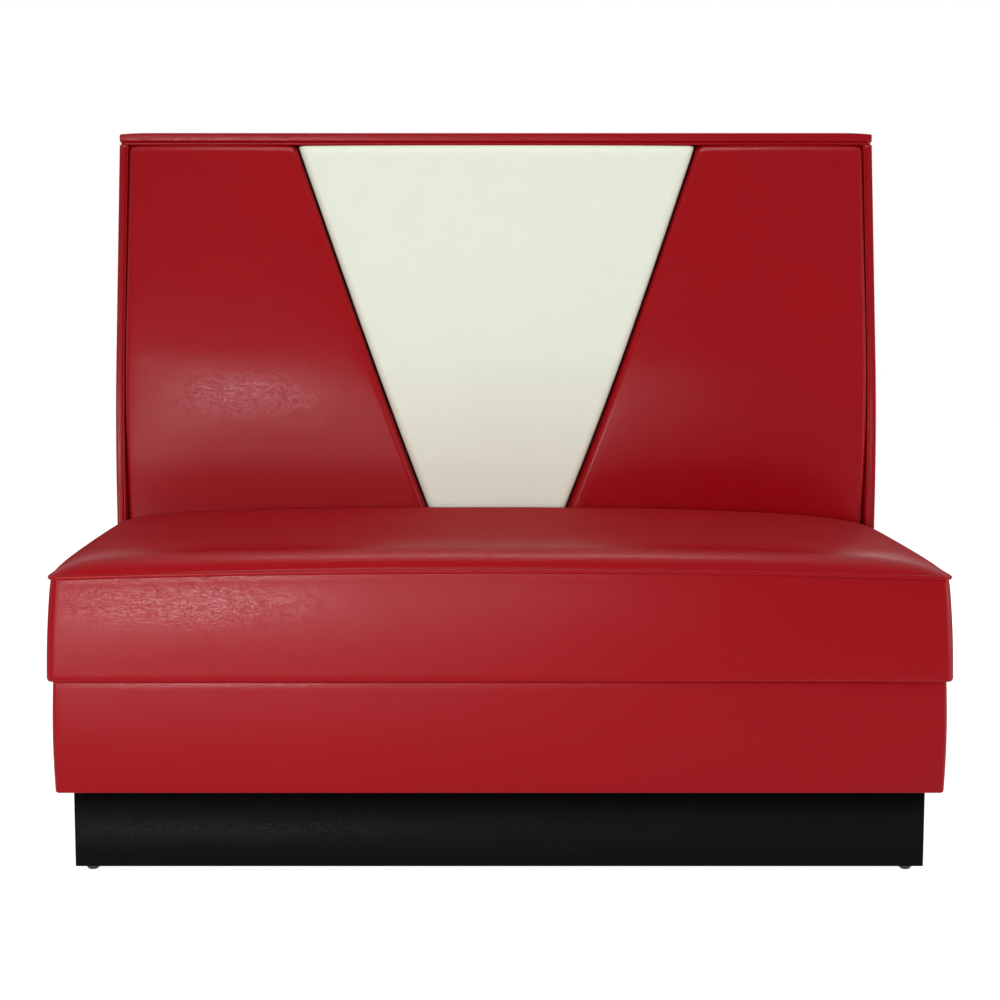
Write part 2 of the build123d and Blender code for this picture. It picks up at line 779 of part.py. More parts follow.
def make_seat_frame():
    inner_half = rail_out_half - seat_rail_thick
    deep = (rail_out_front + seat_rail_thick, rail_out_rear - seat_rail_thick)
    wide = (-rail_out_half, rail_out_half)
    height = (seat_rail_bottom, seat_rail_top)
    blocks = [span_box(x, y, (base_top - block_reach, seat_rail_bottom + block_height))
              for x, y in block_spans()]
    cloth = span_box((seat_turn_under - half_width, half_width - seat_turn_under),
                     (front + seat_turn_under, seat_rear - seat_turn_under),
                     (seat_rail_bottom - dust_cloth, seat_rail_bottom))
    for x, y in block_spans():
        cloth -= span_box((x[0] - fit_gap, x[1] + fit_gap), (y[0] - fit_gap, y[1] + fit_gap),
                          (base_top, seat_rail_bottom))
    parts = {
        "seat_front_rail": span_box(wide, (rail_out_front, deep[0]), height),
        "seat_rear_rail": span_box(wide, (deep[1], rail_out_rear), height),
        "seat_left_rail": span_box((-rail_out_half, -inner_half), deep, height),
        "seat_right_rail": span_box((inner_half, rail_out_half), deep, height),
        "seat_centre_rail": span_box((-seat_rail_thick / 2, seat_rail_thick / 2), deep,
                                     (seat_rail_bottom, seat_rail_top - centre_rail_drop)),
        "seat_locating_blocks": Compound(children=blocks),
        "seat_dust_cloth": cloth,
    }
    parts.update(make_webbing())
    return parts


# Fasteners and levellers

def tee_nut():
    """A tee nut, its flange on the origin and its barrel above."""
    nut = stud(tee_flange_radius, 0, 0, (0, tee_flange_thick))
    nut += stud(tee_barrel_radius, 0, 0, (0, tee_barrel_length))
    return nut - stud(thread_radius + thread_clearance, 0, 0, (0, tee_barrel_length))


def flange_bolt():
    """A hexagon bolt with its flange on the origin and its shank below."""
    length = board + cleat_height + tee_flange_thick
    bolt = stud(bolt_head_radius, 0, 0, (0, bolt_head_height + bolt_flange_height))
    bolt += stud(bolt_flange_radius, 0, 0, (0, bolt_flange_height))
    return bolt + stud(thread_radius, 0, 0, (-length, 0))


def wood_screw():
    """A hexagon-head wood screw with its head on the origin and its shank below."""
    head = stud(screw_head_radius, 0, 0, (0, screw_head_height))
    return head + stud(screw_radius, 0, 0, (-screw_length, 0))


def make_fasteners():
    nut, bolt, screw = tee_nut(), flange_bolt(), wood_screw()
    nuts = [Pos(x, y, plinth_bottom) * nut for x, y in foot_places().values()]
    nuts += [Pos(x, y, base_top - cleat_height - tee_flange_thick) * nut
             for x, y in bolt_places()]
    bolts = [Pos(x, y, sill_top) * bolt for x, y in bolt_places()]
    screws = [Pos(x, y, floor_panel_top) * screw for x, y in floor_screw_places()]
    for bottom in (low_rail_bottom, top_rail_bottom):
        screws += [screw_frame(x, z, bottom) * screw for x, z in pad_screw_places(bottom)]
    return {
        "tee_nuts": Compound(children=nuts),
        "back_bolts": Compound(children=bolts),
        "wood_screws": Compound(children=screws),
    }


def make_levellers():
    """Moulded screw feet: a domed foot with a small flat, on a threaded stem."""
    foot = extrude(RegularPolygon(foot_radius, foot_flat_count), amount=foot_height)
    foot = chamfer(foot.faces().sort_by(Axis.Z)[0].edges(), foot_dome, foot_dome_reach)
    foot += stud(thread_radius, 0, 0, (foot_height, stem_length))
    return {name + "_leveller": Pos(x, y, 0) * foot for name, (x, y) in foot_places().items()}


def main():
    parts = {}
    for make in (make_plinth, make_base, make_back_frame, make_end_covers, make_pads, make_cap,
                 make_seat_frame, make_seat_soft, make_fasteners, make_levellers):
        parts.update(make())
    os.makedirs("parts", exist_ok=True)
    for name, solid in parts.items():
        export_step(solid, "parts/" + name + ".step")
    print(len(parts), "sub-parts written")


main()
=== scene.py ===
import json
import math

import bmesh
import bpy
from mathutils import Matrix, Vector, noise


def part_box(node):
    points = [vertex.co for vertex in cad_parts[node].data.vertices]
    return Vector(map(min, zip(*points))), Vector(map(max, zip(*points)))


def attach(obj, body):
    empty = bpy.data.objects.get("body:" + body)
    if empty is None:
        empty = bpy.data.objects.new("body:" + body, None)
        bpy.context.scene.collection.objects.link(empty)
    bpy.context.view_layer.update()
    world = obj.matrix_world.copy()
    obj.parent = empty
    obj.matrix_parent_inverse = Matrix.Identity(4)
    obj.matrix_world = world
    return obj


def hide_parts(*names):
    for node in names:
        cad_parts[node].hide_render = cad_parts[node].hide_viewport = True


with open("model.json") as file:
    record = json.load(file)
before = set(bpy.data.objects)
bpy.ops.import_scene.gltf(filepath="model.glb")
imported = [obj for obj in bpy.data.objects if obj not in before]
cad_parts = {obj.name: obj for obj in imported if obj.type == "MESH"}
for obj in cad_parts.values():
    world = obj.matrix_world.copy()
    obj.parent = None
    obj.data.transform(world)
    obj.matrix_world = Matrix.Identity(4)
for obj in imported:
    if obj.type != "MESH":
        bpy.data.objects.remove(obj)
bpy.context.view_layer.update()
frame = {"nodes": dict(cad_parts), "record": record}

bl_info = {
    "name": "Diner booth bench",
    "version": (1, 0, 0),
    "blender": (4, 5, 0),
    "location": "3D View > Sidebar > Booth",
    "description": "Upholstery, trim and a plain studio for a booth bench with a V back",
    "category": "Object",
}

MM = 0.001
BODY_MAIN = "base_and_back"
BODY_SEAT = "seat"
FEET = ("front_left", "front_right", "rear_left", "rear_right")


def node_box(name):
    """Lowest and highest corner of a CAD node, in metres."""
    low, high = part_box(name)
    return Vector(low), Vector(high)


def ripple(x, y, reach=11.0):
    """A slow unevenness from -1 to 1, as hand-pulled covers have."""
    return noise.noise(Vector((x * reach, y * reach, 0.37)))


def smooth_step(value):
    """A soft step from 0 to 1."""
    value = min(max(value, 0.0), 1.0)
    return value * value * (3.0 - 2.0 * value)


# Settings

class BoothSizes(bpy.types.PropertyGroup):
    """Sizes that shape the upholstery."""

    pad_roll: bpy.props.FloatProperty(
        name="Pad edge roll", description="Radius that a back pad's front edges are rolled to",
        default=16 * MM, unit="LENGTH")
    pad_swell: bpy.props.FloatProperty(
        name="Pad swell", description="How far a back pad stands proud at the small of the back",
        default=15 * MM, unit="LENGTH")
    pad_crown: bpy.props.FloatProperty(
        name="Pad crown", description="How far a back pad's face bows out between its edges",
        default=6.5 * MM, unit="LENGTH")
    pad_corner: bpy.props.FloatProperty(
        name="Pad corner", description="Radius of a back pad's corners seen from the front",
        default=2.5 * MM, unit="LENGTH")
    pad_tuck: bpy.props.FloatProperty(
        name="Pad tuck", description="How far a back pad's foot is drawn in behind the seat",
        default=5 * MM, unit="LENGTH")
    seat_crown: bpy.props.FloatProperty(
        name="Seat crown", description="Height of the cushion's crown above its seam",
        default=33.5 * MM, unit="LENGTH")
    shoulder: bpy.props.FloatProperty(
        name="Seat shoulder", description="How fast the cushion rises from its sides",
        default=26.6 * MM, unit="LENGTH")
    front_fall: bpy.props.FloatProperty(
        name="Seat front fall", description="How fast the cushion rises from its front seam",
        default=18.2 * MM, unit="LENGTH")
    boxing_bulge: bpy.props.FloatProperty(
        name="Boxing bulge", description="How far the cushion's upright sides bulge at mid height",
        default=1.6 * MM, unit="LENGTH")
    front_bulge: bpy.props.FloatProperty(
        name="Front bulge", description="How far the cushion's front bulges at mid height",
        default=3.4 * MM, unit="LENGTH")
    unevenness: bpy.props.FloatProperty(
        name="Unevenness", description="Height of the slow unevenness of the padded faces",
        default=0.3 * MM, unit="LENGTH")
    cap_droop: bpy.props.FloatProperty(
        name="Cap droop", description="How far the cap's top edge falls away at its two ends",
        default=2.2 * MM, unit="LENGTH")


class BoothColours(bpy.types.PropertyGroup):
    """Colours of the coverings and of the frame, as linear values."""

    red: bpy.props.FloatVectorProperty(
        name="Red vinyl", description="Colour of the main covering", subtype="COLOR", size=3,
        default=(0.28, 0.0008, 0.004))
    cream: bpy.props.FloatVectorProperty(
        name="Cream vinyl", description="Colour of the V panel", subtype="COLOR", size=3,
        default=(0.745, 0.785, 0.665))
    black: bpy.props.FloatVectorProperty(
        name="Black vinyl", description="Colour of the kick band", subtype="COLOR", size=3,
        default=(0.0016, 0.0016, 0.0018))
    plywood: bpy.props.FloatVectorProperty(
        name="Plywood", description="Colour of the boards and panels", subtype="COLOR", size=3,
        default=(0.50, 0.33, 0.18))
    timber: bpy.props.FloatVectorProperty(
        name="Timber", description="Colour of the solid rails", subtype="COLOR", size=3,
        default=(0.46, 0.28, 0.13))
    floor: bpy.props.FloatVectorProperty(
        name="Floor", description="Colour of the studio floor", subtype="COLOR", size=3,
        default=(0.8, 0.8, 0.8))


# Shader groups and finishes

def new_group(name, inputs, outputs):
    """An empty shader node group with named float and vector sockets."""
    tree = bpy.data.node_groups.new(name, "ShaderNodeTree")
    for label, kind, value in inputs:
        socket = tree.interface.new_socket(name=label, in_out="INPUT", socket_type=kind)
        if value is not None:
            socket.default_value = value
    for label, kind in outputs:
        tree.interface.new_socket(name=label, in_out="OUTPUT", socket_type=kind)
    return tree, tree.nodes.new("NodeGroupInput"), tree.nodes.new("NodeGroupOutput")


def node(tree, kind, links=(), **settings):
    """A shader node with its settings, and its inputs set or linked."""
    made = tree.nodes.new(kind)
    for key, value in settings.items():
        setattr(made, key, value)
    for socket, source in dict(links).items():
        if hasattr(source, "is_output"):
            tree.links.new(source, made.inputs[socket])
        else:
            made.inputs[socket].default_value = source
    return made


def math_node(tree, operation, first, second=None):
    """One sum on two values or sockets."""
    links = {0: first}
    if second is not None:
        links[1] = second
    return node(tree, "ShaderNodeMath", links, operation=operation).outputs[0]


def stretched(tree, vector, factors):
    """A vector with each axis multiplied by its own factor."""
    made = node(tree, "ShaderNodeVectorMath", {0: vector, 1: factors}, operation="MULTIPLY")
    return made.outputs[0]


def make_vinyl_group():
    """Pressed leather grain: round pores, short level creases in patches, and a slow tone."""
    tree, inside, outside = new_group(
        "Pressed vinyl grain",
        [("Vector", "NodeSocketVector", None), ("Pore Scale", "NodeSocketFloat", 480.0),
         ("Crease Scale", "NodeSocketFloat", 84.0), ("Crease Depth", "NodeSocketFloat", 1.0)],
        [("Height", "NodeSocketFloat"), ("Crease", "NodeSocketFloat"), ("Tone", "NodeSocketFloat")])
    vector = inside.outputs["Vector"]
    pores = node(tree, "ShaderNodeTexVoronoi",
                 {"Vector": vector, "Scale": inside.outputs["Pore Scale"]},
                 feature="DISTANCE_TO_EDGE")
    rounded = node(tree, "ShaderNodeMapRange",
                   {"Value": pores.outputs["Distance"], "From Max": 0.22},
                   interpolation_type="SMOOTHSTEP")
    lines = []
    for stretch, scale_share in (((0.7, 0.7, 5.0), 1.0), ((1.1, 1.1, 4.2), 2.3)):
        scale = math_node(tree, "MULTIPLY", inside.outputs["Crease Scale"], scale_share)
        field = node(tree, "ShaderNodeTexNoise",
                     {"Vector": stretched(tree, vector, stretch), "Scale": scale,
                      "Detail": 3.0, "Roughness": 0.6, "Distortion": 0.7})
        off = math_node(tree, "SUBTRACT", field.outputs["Fac"], 0.5)
        line = node(tree, "ShaderNodeMapRange",
                    {"Value": math_node(tree, "ABSOLUTE", off), "From Max": 0.03,
                     "To Min": 1.0, "To Max": 0.0}, interpolation_type="SMOOTHSTEP")
        lines.append(line.outputs["Result"])
    line = math_node(tree, "MAXIMUM", lines[0], lines[1])
    patch = node(tree, "ShaderNodeTexNoise",
                 {"Vector": stretched(tree, vector, (1.0, 1.0, 1.6)), "Scale": 17.0, "Detail": 3.0})
    where = node(tree, "ShaderNodeMapRange",
                 {"Value": patch.outputs["Fac"], "From Min": 0.2, "From Max": 0.7, "To Min": 0.45})
    crease = math_node(tree, "MULTIPLY", line, where.outputs["Result"])
    deep = math_node(tree, "MULTIPLY", crease, inside.outputs["Crease Depth"])
    height = math_node(tree, "MULTIPLY_ADD", rounded.outputs["Result"], 0.06)
    tree.links.new(math_node(tree, "SUBTRACT", 1.0, deep), height.node.inputs[2])
    tone = node(tree, "ShaderNodeTexNoise", {"Vector": vector, "Scale": 3.2, "Detail": 3.0})
    tree.links.new(height, outside.inputs["Height"])
    tree.links.new(crease, outside.inputs["Crease"])
    tree.links.new(tone.outputs["Fac"], outside.inputs["Tone"])
    return tree


def make_scuff_group():
    """Sparse thin rubs and dust, as a mask."""
    tree, inside, outside = new_group(
        "Rubs and dust",
        [("Vector", "NodeSocketVector", None), ("Scale", "NodeSocketFloat", 18.0),
         ("Amount", "NodeSocketFloat", 0.3)],
        [("Mask", "NodeSocketFloat")])
    field = node(tree, "ShaderNodeTexNoise",
                 {"Vector": stretched(tree, inside.outputs["Vector"], (0.5, 0.5, 3.0)),
                  "Scale": inside.outputs["Scale"], "Detail": 8.0, "Roughness": 0.7})
    cut = node(tree, "ShaderNodeMapRange",
               {"Value": field.outputs["Fac"], "From Min": 0.55, "From Max": 0.8})
    amount = math_node(tree, "MULTIPLY", cut.outputs["Result"], inside.outputs["Amount"])
    tree.links.new(amount, outside.inputs["Mask"])
    return tree


def make_wood_group():
    """Long wood grain with fine pores."""
    tree, inside, outside = new_group(
        "Sawn wood grain",
        [("Vector", "NodeSocketVector", None), ("Scale", "NodeSocketFloat", 14.0)],
        [("Mask", "NodeSocketFloat"), ("Height", "NodeSocketFloat")])
    base = stretched(tree, inside.outputs["Vector"], (0.12, 1.0, 1.0))
    rings = node(tree, "ShaderNodeTexNoise",
                 {"Vector": base, "Scale": inside.outputs["Scale"], "Detail": 5.0,
                  "Distortion": 0.8})
    fine = node(tree, "ShaderNodeTexNoise",
                {"Vector": stretched(tree, base, (0.4, 9.0, 9.0)), "Scale": 60.0, "Detail": 2.0})
    mix = math_node(tree, "MULTIPLY_ADD", fine.outputs["Fac"], 0.35)
    tree.links.new(rings.outputs["Fac"], mix.node.inputs[2])
    ramp = node(tree, "ShaderNodeMapRange", {"Value": mix, "From Min": 0.45, "From Max": 0.85})
    tree.links.new(ramp.outputs["Result"], outside.inputs["Mask"])
    tree.links.new(mix, outside.inputs["Height"])
    return tree


def make_weave_group():
    """Over-and-under threads along the two level axes."""
    tree, inside, outside = new_group(
        "Plain weave",
        [("Vector", "NodeSocketVector", None), ("Threads", "NodeSocketFloat", 400.0)],
        [("Mask", "NodeSocketFloat"), ("Height", "NodeSocketFloat")])
    parts = node(tree, "ShaderNodeSeparateXYZ", {0: inside.outputs["Vector"]})
    waves = []
    for axis in ("X", "Y"):
        turn = math_node(tree, "MULTIPLY", parts.outputs[axis], inside.outputs["Threads"])
        waves.append(math_node(tree, "SINE", turn))
    weave = math_node(tree, "MULTIPLY", waves[0], waves[1])
    mask = node(tree, "ShaderNodeMapRange", {"Value": weave, "From Min": -1.0, "From Max": 1.0})
    tree.links.new(mask.outputs["Result"], outside.inputs["Mask"])
    tree.links.new(mask.outputs["Result"], outside.inputs["Height"])
    return tree


def start_material(name, **values):
    """A material with its shader's plain values set, and the object's own coordinates."""
    material = bpy.data.materials.new(name)
    material.use_nodes = True
    tree = material.node_tree
    shader = tree.nodes["Principled BSDF"]
    for key, value in values.items():
        shader.inputs[key.replace("_", " ")].default_value = value
    vector = node(tree, "ShaderNodeTexCoord").outputs["Object"]
    return material, tree, shader, vector


def placed(tree, group, links):
    """A shader group put into a material."""
    return node(tree, "ShaderNodeGroup", links, node_tree=group)


def tinted(tree, shader, mask, dark, light):
    """Base colour that runs from one colour to another by a mask."""
    mix = node(tree, "ShaderNodeMix", data_type="RGBA")
    tree.links.new(mask, mix.inputs["Factor"])
    mix.inputs["A"].default_value = (*dark, 1.0)
    mix.inputs["B"].default_value = (*light, 1.0)
    tree.links.new(mix.outputs["Result"], shader.inputs["Base Color"])


def bumped(tree, shader, height, strength, distance):
    """Surface relief from a height."""
    bump = node(tree, "ShaderNodeBump",
                {"Height": height, "Strength": strength, "Distance": distance})
    tree.links.new(bump.outputs["Normal"], shader.inputs["Normal"])


def shade(colour, factor):
    """A colour made darker or lighter by a factor."""
    return tuple(min(c * factor, 1.0) for c in colour)


ROUGH_SPAN = 0.05  # roughness gained from the top of the relief's range to its bottom
VINYL_RELIEF = 0.45 * MM


def make_vinyl(name, colour, group, look):
    """Glossy pressed vinyl: grain, creases with painted shade along them, and a slow change of
    tone.

    Its roughness grows where the surface turns away from the view."""
    material, tree, shader, vector = start_material(
        name, Specular_IOR_Level=look["shine"], Specular_Tint=(*look["tint"], 1.0))
    grain = placed(tree, group, {"Vector": vector, "Crease Depth": look["crease"]})
    spread = look["spread"]
    # Colour mask: the random tone, less painted shade along the creases; the line share sets how
    # dark that painted shade is.
    crease_shade_and_rubs = math_node(tree, "MULTIPLY_ADD", grain.outputs["Crease"], -look["line"])
    tree.links.new(grain.outputs["Tone"], crease_shade_and_rubs.node.inputs[2])
    tinted(tree, shader, crease_shade_and_rubs, shade(colour, 1 - spread), shade(colour, 1 + spread))
    rough = node(tree, "ShaderNodeMapRange",
                 {"Value": grain.outputs["Height"], "From Max": 1.3,
                  "To Min": look["rough"] + ROUGH_SPAN, "To Max": look["rough"]})
    facing = node(tree, "ShaderNodeLayerWeight", {"Blend": 0.5}).outputs["Facing"]
    skim = node(tree, "ShaderNodeMapRange",
                {"Value": facing, "From Min": 0.6, "From Max": 0.95, "To Max": look["skim"]})
    total = math_node(tree, "ADD", rough.outputs["Result"], skim.outputs["Result"])
    tree.links.new(total, shader.inputs["Roughness"])
    bumped(tree, shader, grain.outputs["Height"], look["relief"], VINYL_RELIEF)
    return material, tree, shader, vector


def make_materials(colours):
    """Every finish of the bench, by the name of its slot."""
    grain, scuffs = make_vinyl_group(), make_scuff_group()
    wood, weave = make_wood_group(), make_weave_group()
    made = {}
    # line: how dark the painted shade along the vinyl's creases is.
    red = {"shine": 0.14, "tint": (1.0, 0.88, 0.9), "crease": 1.0, "spread": 0.05, "line": 0.7,
           "rough": 0.23, "relief": 0.17, "skim": 0.75}
    cream = dict(red, tint=(1.0, 1.0, 1.0), crease=0.5, spread=0.025, line=0.8, rough=0.4,
                 relief=0.4)
    black = dict(cream, shine=0.045, spread=0.1)
    made["red_vinyl"] = make_vinyl("Red vinyl", colours.red, grain, red)[0]
    made["cream_vinyl"] = make_vinyl("Cream vinyl", colours.cream, grain, cream)[0]
    material, tree, shader, vector = make_vinyl("Black vinyl", colours.black, grain, black)
    # Rubs and dust mixed over the black vinyl's colour, which also carries painted shade along the
    # creases.
    rub = placed(tree, scuffs, {"Vector": vector, "Amount": 0.01})
    tone = shader.inputs["Base Color"].links[0].from_socket
    crease_shade_and_rubs = node(tree, "ShaderNodeMix", data_type="RGBA")
    tree.links.new(rub.outputs["Mask"], crease_shade_and_rubs.inputs["Factor"])
    tree.links.new(tone, crease_shade_and_rubs.inputs["A"])
    crease_shade_and_rubs.inputs["B"].default_value = (0.16, 0.15, 0.14, 1.0)
    tree.links.new(crease_shade_and_rubs.outputs["Result"], shader.inputs["Base Color"])
    made["black_vinyl"] = material
    for slot, label, colour, scale in (("plywood", "Plywood", colours.plywood, 9.0),
                                       ("timber", "Sawn timber", colours.timber, 16.0)):
        material, tree, shader, vector = start_material(label, Roughness=0.68)
        figure = placed(tree, wood, {"Vector": vector, "Scale": scale})
        tinted(tree, shader, figure.outputs["Mask"], shade(colour, 0.72), shade(colour, 1.2))
        bumped(tree, shader, figure.outputs["Height"], 0.3, 0.3 * MM)
        made[slot] = material
    for slot, label, dark, light, threads in (
            ("webbing", "Jute webbing", (0.16, 0.11, 0.06), (0.42, 0.31, 0.18), 2600.0),
            ("dust_cloth", "Dust cloth", (0.004, 0.004, 0.004), (0.02, 0.02, 0.021), 5200.0)):
        material, tree, shader, vector = start_material(label, Roughness=0.9)
        cloth = placed(tree, weave, {"Vector": vector, "Threads": threads})
        tinted(tree, shader, cloth.outputs["Mask"], dark, light)
        bumped(tree, shader, cloth.outputs["Height"], 0.5, 0.3 * MM)
        made[slot] = material
    material, tree, shader, vector = start_material("Zinc plated steel", Metallic=1.0)
    rub = placed(tree, scuffs, {"Vector": vector, "Scale": 160.0, "Amount": 1.0})
    tinted(tree, shader, rub.outputs["Mask"], (0.46, 0.47, 0.48), (0.66, 0.66, 0.64))
    rough = node(tree, "ShaderNodeMapRange",
                 {"Value": rub.outputs["Mask"], "To Min": 0.32, "To Max": 0.5})
    tree.links.new(rough.outputs["Result"], shader.inputs["Roughness"])
    made["zinc_steel"] = material
    material, tree, shader, vector = start_material("Moulded nylon", Roughness=0.45)
    rub = placed(tree, scuffs, {"Vector": vector, "Scale": 220.0, "Amount": 0.5})
    tinted(tree, shader, rub.outputs["Mask"], (0.007, 0.007, 0.007), (0.05, 0.05, 0.05))
    made["nylon"] = material
    return made


def finish_for(slot):
    """The finish made for a material slot."""
    labels = {
        "red_vinyl": "Red vinyl", "cream_vinyl": "Cream vinyl", "black_vinyl": "Black vinyl",
        "plywood": "Plywood", "timber": "Sawn timber", "webbing": "Jute webbing",
        "dust_cloth": "Dust cloth", "zinc_steel": "Zinc plated steel", "nylon": "Moulded nylon",
    }
    return bpy.data.materials[labels[slot]]


# Mesh helpers

def piece(name, points, faces, slot, body):
    """A smooth mesh piece that rides on a CAD body."""
    mesh = bpy.data.meshes.new(name)
    mesh.from_pydata([tuple(p) for p in points], [], faces)
    mesh.validate()
    mesh.update()
    obj = bpy.data.objects.new(name, mesh)
    bpy.context.scene.collection.objects.link(obj)
    mesh.materials.append(finish_for(slot))
    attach(obj, body)
    return obj


def turn_outward(obj):
    """Makes a closed mesh's faces look outward, and shades them smooth."""
    work = bmesh.new()
    work.from_mesh(obj.data)
    bmesh.ops.remove_doubles(work, verts=work.verts, dist=1e-6)
    bmesh.ops.recalc_face_normals(work, faces=work.faces)
    work.to_mesh(obj.data)
    work.free()
    obj.data.polygons.foreach_set("use_smooth", [True] * len(obj.data.polygons))


def ring_faces(count, rings, start=0):
    """Quads between closed rings of points that follow one another."""
    faces = []
    for ring in range(rings - 1):
        for k in range(count):
            a = start + ring * count + k
            b = start + ring * count + (k + 1) % count
            faces.append((a, b, b + count, a + count))
    return faces


def closed_form(name, rings, slot, body):
    """A closed piece swept through rings of points, with both ends capped."""
    count = len(rings[0])
    points = [p for ring in rings for p in ring]
    last = len(points) - count
    faces = ring_faces(count, len(rings))
    faces.append(tuple(reversed(range(count))))
    faces.append(tuple(range(last, last + count)))
    obj = piece(name, points, faces, slot, body)
    turn_outward(obj)
    return obj


def quarter_turns(steps):
    """Angles from 0 to a quarter turn."""
    return [math.pi / 2 * n / steps for n in range(steps + 1)]


def quarter_arc(cx, cy, radius, start, steps):
    """Points along a quarter circle, anticlockwise from a start angle."""
    return [(cx + radius * math.cos(start + turn), cy + radius * math.sin(start + turn))
            for turn in quarter_turns(steps)]


def tube(name, path, radius, slot, body, sides=14):
    """A round cord along a path of points, with rounded ends."""
    rounded = ((0.0, 1.0), (0.7, 0.75), (1.0, 0.35))
    rings = []
    normal = Vector((0, 0, 1))
    last = len(path) - 1
    for k, place in enumerate(path):
        ahead = path[min(k + 1, last)] - path[max(k - 1, 0)]
        ahead.normalize()
        across = ahead.cross(normal)
        if across.length < 0.1:
            across = ahead.cross(Vector((1, 0, 0)))
        across.normalize()
        normal = across.cross(ahead).normalized()
        ends = rounded[:1]
        if k == 0:
            ends = [(-shift, share) for shift, share in reversed(rounded)]
        if k == last:
            ends = rounded
        for shift, share in ends:
            ring = []
            for s in range(sides):
                turn = 2 * math.pi * s / sides
                out = across * math.cos(turn) + normal * math.sin(turn)
                ring.append(place + ahead * (shift * radius * 0.5) + out * (radius * share))
            rings.append(ring)
    return closed_form(name, rings, slot, body)


def rounded_outline(half, near, far, corner, steps=(48, 8, 24)):
    """A level outline with round corners, anticlockwise from the front left.

    Each point comes with the outward direction there."""
    along, turning, deep = steps
    wide, long = half - corner, (far - near) / 2 - corner
    middle = (near + far) / 2
    points = []

    def corner_arc(cx, cy, start):
        for quarter in quarter_turns(turning):
            turn = start + quarter
            points.append((cx + corner * math.cos(turn), cy + corner * math.sin(turn),
                           math.cos(turn), math.sin(turn)))

    corner_arc(-wide, near + corner, math.pi)
    points += [(-wide + 2 * wide * n / along, near, 0.0, -1.0) for n in range(1, along)]
    corner_arc(wide, near + corner, -math.pi / 2)
    points += [(half, middle - long + 2 * long * n / deep, 1.0, 0.0) for n in range(1, deep)]
    corner_arc(wide, far - corner, 0.0)
    points += [(wide - 2 * wide * n / along, far, 0.0, 1.0) for n in range(1, along)]
    corner_arc(-wide, far - corner, math.pi / 2)
    points += [(-half, middle + long - 2 * long * n / deep, -1.0, 0.0) for n in range(1, deep)]
    return points


def swept_wrap(name, box, corner, profile, slot, body):
    """A covering round a box: a closed profile of (inset, height) carried round its outline.

    It doesn't reach past the box at the rear."""
    low, high = box
    outline = rounded_outline(high.x, low.y, high.y, corner)
    points = []
    for inset, height in profile:
        for x, y, nx, ny in outline:
            points.append((x - nx * inset, min(y - ny * inset, high.y), height))
    count = len(outline)
    faces = ring_faces(count, len(profile))
    last = (len(profile) - 1) * count
    for k in range(count):
        following = (k + 1) % count
        faces.append((last + k, last + following, following, k))
    obj = piece(name, points, faces, slot, body)
    turn_outward(obj)
    return obj


# Back

BACK_START = 144.2 * MM  # front line of the back's upright foot
BEND_BOTTOM = 490 * MM
BEND_TOP = 710 * MM
RECLINE = math.radians(9.44)
BACK_TUCK = 39 * MM  # depth that pads and end coverings reach behind the front line
V_SLOPE = 0.3645  # half width that the V gains with height
SEAM_GAP = 3.6 * MM
SEAM_SPREAD = 4.5 * MM  # the V is wider than its solid by this on each side,
SEAM_BOW = 2.6 * MM  # and by this more at mid height
SEAM_SHIFT = 1.5 * MM  # it stands to the right by this,
SEAM_SHIFT_BOW = 1.0 * MM  # and by this more at mid height
OUTER_REACH = 0.2 * MM
OUTER_ROLL, SEAM_ROLL = 0.5, 0.8  # shares of the pad roll at a bench end and at a seam
PAD_SET_BACK = 0.9 * MM
PAD_LIFT = 1.6 * MM  # how far the pads' tops stand above their CAD covers


def back_front(z, depth):
    """Where the back's front line lies at a height, moved in by a depth."""
    radius = (BEND_TOP - BEND_BOTTOM) / math.sin(RECLINE)
    if z <= BEND_BOTTOM:
        return BACK_START + depth
    inner = radius - depth
    turned = math.sin(RECLINE) * inner
    if z <= BEND_BOTTOM + turned:
        return BACK_START + radius - math.sqrt(inner**2 - (z - BEND_BOTTOM) ** 2)
    end = BACK_START + radius - inner * math.cos(RECLINE)
    return end + (z - BEND_BOTTOM - turned) * math.tan(RECLINE)


def pad_edges(name, z):
    """The two side edges of a back pad at a height, from its CAD cover."""
    low, high = node_box(name + "_pad_cover")
    centre_low, centre_high = node_box("centre_pad_cover")
    share = (z - centre_low.z) / (centre_high.z - centre_low.z)
    bow = math.sin(math.pi * min(max(share, 0.0), 1.0))
    half = centre_high.x + V_SLOPE * (z - centre_high.z) + SEAM_SPREAD + SEAM_BOW * bow
    shift = SEAM_SHIFT + SEAM_SHIFT_BOW * bow
    if name == "centre":
        return shift - half, half + shift
    seam = half + SEAM_GAP
    if name == "right":
        return seam + shift, high.x + OUTER_REACH
    return low.x - OUTER_REACH, shift - seam


def pad_fullness(share):
    """How full a back pad is at a share of its height: nothing at its foot, most at mid height."""
    fall = 1 - 0.45 * smooth_step((share - 0.45) / 0.55)
    return smooth_step((share - 0.08) / 0.42) * fall


def pad_levels(bottom, top, roll):
    """Heights of a back pad's rings, each with how far the rolled top lies back there."""
    upright, rolled = 72, 10
    levels = [(bottom + (top - roll - bottom) * n / upright, 0.0) for n in range(upright + 1)]
    for turn in quarter_turns(rolled)[1:]:
        levels.append((top - roll + roll * math.sin(turn), roll * (1 - math.cos(turn))))
    return levels


